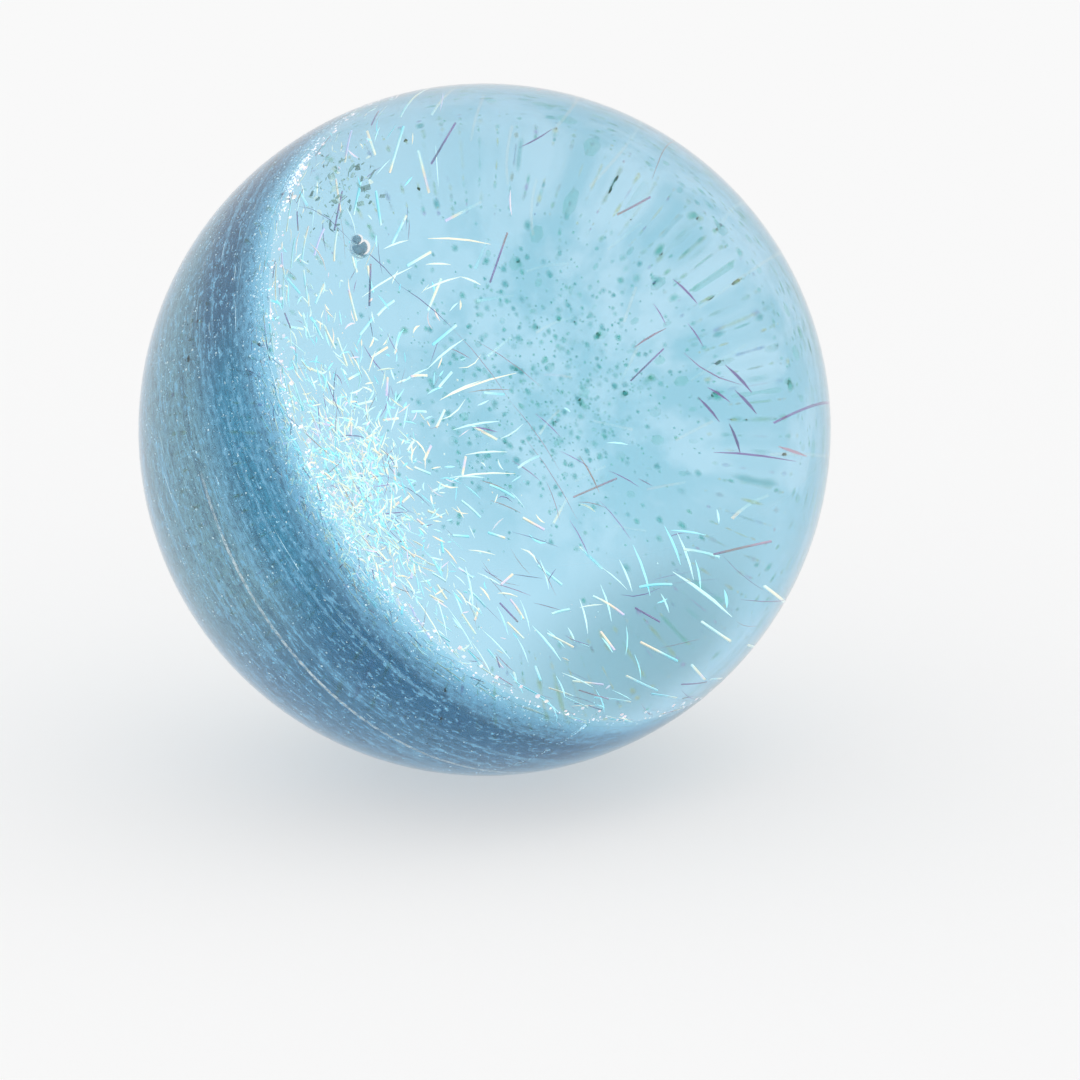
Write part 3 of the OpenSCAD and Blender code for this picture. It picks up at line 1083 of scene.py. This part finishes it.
@dataclass
class Burst:
    """The fine strands that fill the spaces between the construction's own, on the same dish."""

    crowd: Fan = Fan(1250, 0.8, (0.24, 0.85), (0.04, 0.068), 42)
    wide: Fan = Fan(520, 0.3, (0.4, 1.4), (0.03, 0.055), 30)
    hairs: Fan = Fan(260, 0.0, (0.5, 2.0), (0.012, 0.035), 30)
    hair_tint: float = 0.75
    dust: int = 1800
    dust_size: Draw = Draw(0.014, 0.045, 3)
    dust_share: float = 0.8
    dust_tilt: float = 0.6
    first: Spot = Spot(1.9, 222.0)
    second: Spot = Spot(3.3, 300.0)
    second_share: float = 0.42
    spread: float = 2.9
    spread_range: Pair = (0.6, 1.35)
    side_spread: float = 62.0
    far_power: float = 0.8
    length_power: float = 1.6
    pocket: Spot = Spot(0.8, 5.0)
    pocket_r: float = 0.55
    pocket_edge: float = 0.25
    bare_corner: Pair = (4.0, 6.5)
    bare_share: float = 0.85
    reach: float = 18.2
    depth: float = 1.2
    tilt: float = 13.0
    unevenness: float = 0.45
    bow: float = 0.07
    middle_skew: float = 1.2
    middle_r: float = 2.5
    traced_width: float = 0.55
    traced_bow: float = 0.03
    traced_facing: float = 0.6
    seed: int = 11

    def _scatter(self, rng: Rng, count: int, share: float) -> tuple[Array, Array]:
        """Draws places on the dish: a share of them round the crowd's two middles, and the rest anywhere.

        The pocket stays free of them, and the bare corner holds few.

        Args:
            rng: Source of the draws.
            count: How many places.
            share: Share of them in the crowd.

        Returns:
            Distances from the face's axis and sides in degrees.
        """
        middle = np.where(rng.random((count, 1)) < self.second_share, self.second.place, self.first.place)
        strewn = rng.normal(0, 1, (count, 2)) * self.spread
        near = middle + strewn * rng.uniform(*self.spread_range, (count, 1))
        side = (rng.normal(self.first.side, self.side_spread, count) if share > 0
                else rng.uniform(0, 360, count))
        far_out = self.reach * rng.random(count) ** self.far_power
        far = far_out[:, None] * np.stack([np.cos(np.radians(side)), np.sin(np.radians(side))], -1)
        place = np.where((rng.random(count) < share)[:, None], near, far)
        away = place - self.pocket.place
        distance = np.linalg.norm(away, axis=1, keepdims=True)
        least = self.pocket_r + self.pocket_edge * rng.random((count, 1))
        place = self.pocket.place + away / distance * np.maximum(distance, least)
        bare = (place[:, 0] < self.bare_corner[0]) & (place[:, 1] > self.bare_corner[1])
        bare = bare & (rng.random(count) < self.bare_share)
        place = np.where(bare[:, None], near, place)
        return np.minimum(np.hypot(*place.T), self.reach), np.degrees(np.arctan2(place[:, 1], place[:, 0]))

    def _fan(self, rng: Rng, fan: Fan) -> Ribbons:
        """Scatters strands that lead outwards on the dish, each with its own skew and tilt.

        Args:
            rng: Source of the draws.
            fan: What the strands are like.

        Returns:
            The strands, which are more skewed towards the dish's middle.
        """
        count = fan.count
        out, side = self._scatter(rng, count, fan.share)
        middle, normal, outwards = on_dish(out, side, rng.uniform(0, self.depth, count))
        more = 1 + self.middle_skew * np.exp(-out / self.middle_r)
        turn = np.radians(rng.normal(0, fan.skew, count) * more)
        tip = np.radians(rng.normal(0, self.tilt, count))
        heading = outwards * np.cos(turn)[:, None] + np.cross(normal, outwards) * np.sin(turn)[:, None]
        heading = heading * np.cos(tip)[:, None] + normal * np.sin(tip)[:, None]
        length = blend(*fan.lengths, rng.random(count) ** self.length_power)
        facing = unit(normal + rng.normal(0, self.unevenness, (count, 3)))
        width = rng.uniform(*fan.widths, count)
        return Ribbons(middle, heading, facing, length, width, length * rng.normal(0, self.bow, count),
                       rng.random(count))

    def _traced(self, marks: tuple[Stroke, ...]) -> Ribbons:
        """Strands that show where the photograph has them, on the dish or as far over it as each says.

        Args:
            marks: The photograph's strands.

        Returns:
            The strands, turned so that their flat sides half face the camera.
        """
        ends = np.array([[mark.from_x, mark.from_y, mark.to_x, mark.to_y, mark.lift] for mark in marks])
        looks = np.array([[mark.width, mark.tint] for mark in marks])
        start = SIGHT.reach_dish(ends[:, 0], ends[:, 1], ends[:, 4])
        end = SIGHT.reach_dish(ends[:, 2], ends[:, 3], ends[:, 4])
        facing = np.array([0, 0, BALL.dish_centre]) - (start + end) / 2
        facing = unit(facing) + self.traced_facing * unit(SIGHT.back @ BALL.axes)
        length = np.linalg.norm(end - start, axis=1)
        return Ribbons((start + end) / 2, end - start, facing, length, looks[:, 0] * self.traced_width,
                       length * self.traced_bow, looks[:, 1])

    def strands(self) -> Piece:
        """The bright strands, crowded on the side towards the blue wall and sparse elsewhere.

        Returns:
            The new piece.
        """
        rng = np.random.default_rng(self.seed)
        sheet = Sheet()
        for fan in (self.crowd, self.wide):
            self._fan(rng, fan).join(sheet)
        self._traced(BRIGHT_STROKES).join(sheet)
        # painted light: the strands glow in their own colours
        film = Film("dichroic_fine", DICHROIC_STOPS, 0.3, pick="tint", painted_glow=0.3)
        return sheet.make("fine_strands", [film.material()])

    def sparkle(self) -> Piece:
        """The dust of film between the strands.

        Returns:
            The new piece.
        """
        rng = np.random.default_rng(self.seed + 1)
        sheet = Sheet()
        out, side = self._scatter(rng, self.dust, self.dust_share)
        middle, normal, _ = on_dish(out, side, rng.uniform(0, self.depth, self.dust))
        facing = unit(normal + rng.normal(0, self.dust_tilt, middle.shape))
        size = self.dust_size.take(rng, self.dust)
        Bits(middle, facing, size, rng.random(self.dust), 0.4).join(sheet, rng)
        # painted light: the dust glows in its own colours
        film = Film("dichroic_dust", DICHROIC_STOPS, 0.3, pick="tint", painted_glow=0.2)
        return sheet.make("film_dust", [film.material()])

    def hairs_and_shaded_strands(self) -> Piece:
        """The fine violet and brown hairs, and the traced dark strands, many of which are a darker violet
        copy of the bright film, as painted shade where the strands show dark.

        Returns:
            The new piece.
        """
        rng = np.random.default_rng(self.seed + 2)
        sheet = Sheet()
        batch = self._fan(rng, self.hairs)
        batch.tint = rng.random(self.hairs.count) * self.hair_tint
        batch.join(sheet)
        self._traced(DARK_STROKES).join(sheet)
        # painted shade: a darker violet copy of the film for strands that show dark; it also glows a little
        # as painted light
        film = Film("violet_fine", VIOLET_STOPS, 0.35, 0.8, pick="tint", painted_glow=0.12, alpha=0.6)
        return sheet.make("fine_hairs_and_shaded_strands", [film.material()])


@dataclass
class Wall:
    """What lies in the blue cup and along its rim: glitter, streaks, soft dots and crumbs.

    Leans are angles from the back pole, sides are angles about the face's axis, and both are in degrees.
    Lifts are distances from the cup's inside, within its wall for the flakes and streaks and over it for
    the dots and fringe, and the feathers' are heights over the dish. The even steps are shares of a turn and
    of the fringe ring's width. One of the crumbs' parts lies in each cluster, and the rest lie anywhere
    between the crumb sides.
    """

    near_side: float = 235.0
    flakes: int = 7600
    flake_lean: Draw = Draw(110, -78, 1.35)
    flake_side: float = 62.0
    flake_side_most: float = 105.0
    flake_lift: Pair = (0.12, 0.6)
    flake_size: Draw = Draw(0.028, 0.06, 3)
    flake_tilt: float = 0.5
    rim_gap: float = 1.0
    rim_fade: float = 3.5
    rim_tints: Pair = (0.35, 0.6)
    streaks: int = 260
    streak_lean: Draw = Draw(112, -60, 1.2)
    streak_side: float = 55.0
    streak_lift: Pair = (0.15, 0.5)
    streak_length: Draw = Draw(0.3, 2.2, 2)
    streak_widths: Pair = (0.01, 0.025)
    streak_gap: float = 0.8
    streak_wander: float = 0.05
    streak_bow: float = 0.02
    dots: int = 1150
    dot_lift: Pair = (0.12, 0.3)
    dot_size: Draw = Draw(0.032, 0.09, 2.5)
    dot_tint: Draw = Draw(0.0, 0.36, 1.3)
    fringe: int = 700
    fringe_ring: Pair = (13.1, 14.7)
    fringe_lift: Pair = (0.1, 0.25)
    fringe_size: Draw = Draw(0.03, 0.05, 2)
    fringe_tint: Pair = (0.2, 1)
    fringe_power: float = 0.6
    even_steps: Pair = (0.7549, 0.5698)
    crumbs: int = 1100
    crumb_parts: int = 4
    crumb_clusters: tuple[Pair, ...] = ((207, 5), (264, 20))
    crumb_sides: Pair = (150, 400)
    crumb_gap: float = 0.05
    crumb_band: Pair = (0.3, 0.28)
    crumb_size: Draw = Draw(0.025, 0.085, 2.2)
    feathers: int = 200
    feather_spot: Spot = Spot(13.2, 184)
    feather_spread: Pair = (1.0, 5.5)
    feather_lift: Pair = (1.2, 3.0)
    feather_size: Draw = Draw(0.03, 0.13, 2.5)
    feather_tilt: float = 0.8
    seed: int = 23

    def glitter(self) -> Piece:
        """Tiny flakes in the cup's wall on the side away from the clear patch, and fine streaks.

        The flakes thin out over the last degrees before the rim, and none of those is dark.

        Returns:
            The new piece.
        """
        rng = np.random.default_rng(self.seed)
        sheet = Sheet()
        lip = 180 - math.degrees(BALL.lip_lean)
        lean = self.flake_lean.take(rng, self.flakes)
        lean = np.minimum(lean, lip - self.rim_gap - self.rim_fade * rng.random(self.flakes) ** 2)
        near_rim = lean > lip - self.rim_gap - self.rim_fade
        most = self.flake_side_most
        side = self.near_side + np.clip(rng.normal(0, self.flake_side, self.flakes), -most, most)
        middle, inwards, _ = on_wall(lean, side, -rng.uniform(*self.flake_lift, self.flakes))
        facing = unit(inwards + rng.normal(0, self.flake_tilt, middle.shape))
        size = self.flake_size.take(rng, self.flakes)
        tint = rng.random(self.flakes)
        tint = np.where(near_rim, self.rim_tints[0] + self.rim_tints[1] * tint, tint)
        Bits(middle, facing, size, tint, 0.4).join(sheet, rng)
        sheet.values.pop("core")
        self._streaks(rng, lip - self.streak_gap).join(sheet)
        # painted light: the flakes and streaks glow strongly, as painted glints
        film = Film("wall_film", GLITTER_STOPS, 0.3, 0.6, pick="tint", painted_glow=0.75)
        return sheet.make("wall_glitter", [film.material()])

    def _streaks(self, rng: Rng, most: float) -> Ribbons:
        """Fine streaks in the cup's wall, drawn out round the face's axis.

        Args:
            rng: Source of the draws.
            most: The largest lean.

        Returns:
            The streaks.
        """
        lean = np.minimum(self.streak_lean.take(rng, self.streaks), most)
        side = rng.normal(self.near_side, self.streak_side, self.streaks)
        middle, inwards, _ = on_wall(lean, side, -rng.uniform(*self.streak_lift, self.streaks))
        turn = np.radians(side)
        heading = np.stack([-np.sin(turn), np.cos(turn), np.zeros_like(turn)], -1)
        heading = heading + rng.normal(0, self.streak_wander, middle.shape)
        length = self.streak_length.take(rng, self.streaks)
        width = rng.uniform(*self.streak_widths, self.streaks)
        bow = length * rng.normal(0, self.streak_bow, self.streaks)
        return Ribbons(middle, heading, inwards, length, width, bow, rng.random(self.streaks))

    def soft_dots(self) -> Piece:
        """Soft green and dark dots on the far wall, and bits of other colours round them.

        Returns:
            The new piece.
        """
        rng = np.random.default_rng(self.seed + 1)
        sheet = Sheet()
        spread = DOT_PATCH.spread * np.sqrt(-2 * np.log(rng.random(self.dots)))
        angle = rng.uniform(0, 2 * math.pi, self.dots)
        lean = DOT_PATCH.lean + spread * np.cos(angle)
        side = DOT_PATCH.side + spread * np.sin(angle) / math.sin(math.radians(DOT_PATCH.lean))
        middle, inwards, _ = on_wall(lean, side, rng.uniform(*self.dot_lift, self.dots))
        size = self.dot_size.take(rng, self.dots)
        tint = self.dot_tint.take(rng, self.dots)
        Bits(middle, inwards, size, tint, 0.3, 8, 0.2, 1.1, (0.35, 1.0)).join(sheet, rng)
        middle, inwards = self._fringe_places(rng)
        size = self.fringe_size.take(rng, self.fringe)
        tint = rng.uniform(*self.fringe_tint, self.fringe)
        Bits(middle, inwards, size, tint, 0.3, 8, 0.15, 1.0, (0.2, 0.7)).join(sheet, rng)
        # painted light: the dots glow in their own tints
        return sheet.make("soft_dots", [Haze("soft_green", DOT_STOPS, 0.52, 0.4).material()])

    def _fringe_places(self, rng: Rng) -> tuple[Array, Array]:
        """Places on the far wall in a ring round the point behind the ball's centre, as the camera sees it.

        The ball magnifies bits in this ring lengthways, into rays. Even steps keep them off each other.

        Args:
            rng: Source of the lifts.

        Returns:
            The places, and the directions that lead into the cup from there.
        """
        behind = -SIGHT.back @ BALL.axes
        across, along = SIGHT.right @ BALL.axes, SIGHT.up @ BALL.axes
        number = np.arange(self.fringe)
        angle = 2 * math.pi * (number * self.even_steps[0] % 1)
        lean = np.radians(blend(*self.fringe_ring, (number * self.even_steps[1] % 1) ** self.fringe_power))
        round_it = np.cos(angle)[:, None] * across + np.sin(angle)[:, None] * along
        ray = np.cos(lean)[:, None] * behind + np.sin(lean)[:, None] * round_it
        centre = np.array([0, 0, BALL.inside_ahead])
        radius = BALL.inside_r - rng.uniform(*self.fringe_lift, self.fringe)
        along_ray = ray @ centre
        reach = along_ray + np.sqrt(along_ray ** 2 - centre @ centre + radius ** 2)
        places = ray * reach[:, None]
        return places, unit(centre - places)

    def rim_glitter(self) -> Piece:
        """Pinkish-white crumbs along the rim, in clusters, thickest on the side where strands meet it.

        Returns:
            The new piece.
        """
        rng = np.random.default_rng(self.seed + 2)
        sheet = Sheet()
        cluster = rng.integers(0, self.crumb_parts, self.crumbs)
        sides = [rng.normal(*place, self.crumbs) for place in self.crumb_clusters]
        side = np.select([cluster == 0, cluster == 1], sides, rng.uniform(*self.crumb_sides, self.crumbs))
        depth, height = self.crumb_band
        reach = BALL.lip_r - self.crumb_gap - depth * rng.random(self.crumbs) ** 2
        ahead = BALL.rim_ahead + rng.normal(0, height, self.crumbs)
        turn = np.radians(side)
        middle = np.stack([reach * np.cos(turn), reach * np.sin(turn), ahead], -1)
        facing = rng.normal(0, 1, middle.shape)
        size = self.crumb_size.take(rng, self.crumbs)
        Bits(middle, facing, size, rng.random(self.crumbs), 0.6).join(sheet, rng)
        # painted light: the crumbs glow strongly, as painted glints
        film = Film("frit_fine", CRUMB_STOPS, 0.35, 0.3, pick="tint", painted_glow=0.85)
        return sheet.make("rim_glitter", [film.material()])

    def feathery(self) -> Piece:
        """Crinkly slips of film near the top of the rim, from greenish-dark to pale.

        Returns:
            The new piece.
        """
        rng = np.random.default_rng(self.seed + 3)
        sheet = Sheet()
        out = rng.normal(self.feather_spot.out, self.feather_spread[0], self.feathers)
        side = rng.normal(self.feather_spot.side, self.feather_spread[1], self.feathers)
        middle, normal, _ = on_dish(out, side, rng.uniform(*self.feather_lift, self.feathers))
        facing = unit(normal + rng.normal(0, self.feather_tilt, middle.shape))
        size = self.feather_size.take(rng, self.feathers)
        Bits(middle, facing, size, rng.random(self.feathers), 0.15, 5, 0.55, 1.5).join(sheet, rng)
        # painted light: the slips glow a little in their own colours
        film = Film("flake_fine", FLAKE_STOPS, 0.3, 0.9, pick="tint", painted_glow=0.22, alpha=0.6)
        return sheet.make("feathery_slips", [film.material()])


@dataclass
class Studio:
    """The floor, the light and the camera."""

    distance: float = 1.5
    sensor: float = 36.0
    floor_side: float = 12.0
    floor_white: float = 0.945
    floor_glow: float = 0.48
    sky: float = 1.0
    backdrop: float = 0.95

    def camera(self) -> None:
        """A camera at the photograph's angle, moved so that the ball sits off the middle as it does there.

        The ball's outline is a circle at the angle whose sine is its radius over its distance, and the focal
        length makes that angle the outline's radius in the picture.
        """
        outline = math.tan(math.asin(BALL.radius * MM / self.distance))
        focal_px = SIGHT.ball_radius / outline
        per_px = self.distance / focal_px
        middle = PICTURE_SIDE / 2
        aim = SIGHT.right * (middle - SIGHT.ball_x) * per_px + SIGHT.up * (SIGHT.ball_y - middle) * per_px
        lens = bpy.data.cameras.new("camera")
        lens.lens = self.sensor * focal_px / PICTURE_SIDE
        lens.sensor_width = self.sensor
        lens.clip_start, lens.clip_end = 0.01, 50
        camera = bpy.data.objects.new("camera", lens)
        camera.location = aim + SIGHT.back * self.distance
        camera.rotation_euler = (math.radians(90 - SIGHT.elevation), 0, 0)
        bpy.context.scene.collection.objects.link(camera)
        bpy.context.scene.camera = camera

    def floor(self) -> None:
        """A plain pale floor just under the ball, lit evenly enough for its edge not to show."""
        half, low = self.floor_side / 2, -BALL.radius * MM
        mesh = bpy.data.meshes.new("floor")
        corners = [(-half, -half, low), (half, -half, low), (half, half, low), (-half, half, low)]
        mesh.from_pydata(corners, [], [(0, 1, 2, 3)])
        finish = Finish("pale_floor")
        white = (self.floor_white,) * 3
        plain = finish.glaze(Base_Color=white, Roughness=1.0, Specular_IOR_Level=0.0)
        bright = finish.add("ShaderNodeEmission", {}, {"Color": (*(self.backdrop,) * 3, 1)})
        mesh.materials.append(finish.show(finish.add(
            "ShaderNodeMixShader", {}, {0: finish.seen() * self.floor_glow, 1: plain, 2: bright})))
        floor = bpy.data.objects.new("floor", mesh)
        bpy.context.scene.collection.objects.link(floor)

    def light(self) -> None:
        """An even white light from all round, as in a small light tent, whose wall matches the floor."""
        world = bpy.data.worlds.new("light_tent")
        world.use_nodes = True
        tree = world.node_tree
        background = tree.nodes["Background"]
        path = tree.nodes.new("ShaderNodeLightPath")
        strength = tree.nodes.new("ShaderNodeMapRange")
        strength.inputs["To Min"].default_value = self.backdrop
        strength.inputs["To Max"].default_value = self.sky
        tree.links.new(path.outputs["Is Diffuse Ray"], strength.inputs["Value"])
        tree.links.new(strength.outputs[0], background.inputs["Strength"])
        background.inputs["Color"].default_value = (1, 1, 1, 1)
        bpy.context.scene.world = world

    def set_up(self) -> None:
        """Makes all of it, and sets the plain colour view."""
        self.camera()
        self.floor()
        self.light()
        bpy.context.scene.view_settings.view_transform = "Standard"


@dataclass
class Marble:
    """Every piece of the marble, with its finish."""

    body: GlassBody = field(default_factory=GlassBody)
    burst: Burst = field(default_factory=Burst)
    wall: Wall = field(default_factory=Wall)

    def seat(self, piece: Piece, slot: Slot, *nodes: str) -> None:
        """Fixes a new piece to the marble.

        Args:
            piece: The new piece.
            slot: The record's slot for the piece; not used.
            nodes: The construction's nodes that it stands for.
        """
        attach(piece, "root")
        if nodes:
            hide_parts(*nodes)
        LOG.info("%s: %d faces", piece.name, len(piece.data.polygons))

    def dress(self, node: str, material: Material) -> None:
        """Gives one of the construction's nodes its finish.

        Args:
            node: The node's name.
            material: Its material.
        """
        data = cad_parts[node].data
        data.materials.clear()
        data.materials.append(material)
        LOG.info("%s: dressed", node)

    def build(self) -> None:
        """Builds and dresses the whole marble."""
        self.seat(self.body.clear_ball(), Slot.CLEAR, "clear_glass")
        self.seat(self.body.blue_cup(), Slot.BLUE, "blue_backing")
        for make, slot in ((self.burst.strands, Slot.DICHROIC), (self.burst.sparkle, Slot.DICHROIC),
                           (self.burst.hairs_and_shaded_strands, Slot.VIOLET), (self.wall.glitter, Slot.BLUE),
                           (self.wall.soft_dots, Slot.GREEN), (self.wall.rim_glitter, Slot.FRIT),
                           (self.wall.feathery, Slot.FLAKE)):
            self.seat(make(), slot)
        finishes = {
            # painted shade and light: the bright film fades out where the strands show dark, and it glows
            "dichroic_strands": Film("dichroic_film", DICHROIC_STOPS, 0.28, painted_glow=0.22, faint=0.93),
            # painted shade: the violet film is a darker copy of the dichroic film for strands that show
            # dark; it glows a little too
            "violet_strands": Film("violet_film", VIOLET_STOPS, 0.35, 0.8, painted_glow=0.12, alpha=0.5),
            "seam_thread": Thread(),
            # painted light: the frit glows strongly
            "rim_frit": Film("pale_frit", FRIT_STOPS, 0.3, 0.3, painted_glow=0.6),
            "green_specks": Speck(),
            "debris_flakes": Film("flake_film", FLAKE_STOPS, 0.3, 0.9, painted_glow=0.22, alpha=0.45)}
        for node, finish in finishes.items():
            self.dress(node, finish.material())


def main() -> None:
    """Builds the marble and its studio."""
    logging.basicConfig(level=logging.INFO, format="%(message)s")
    Studio().set_up()
    Marble().build()


if __name__ == "__main__":
    main()
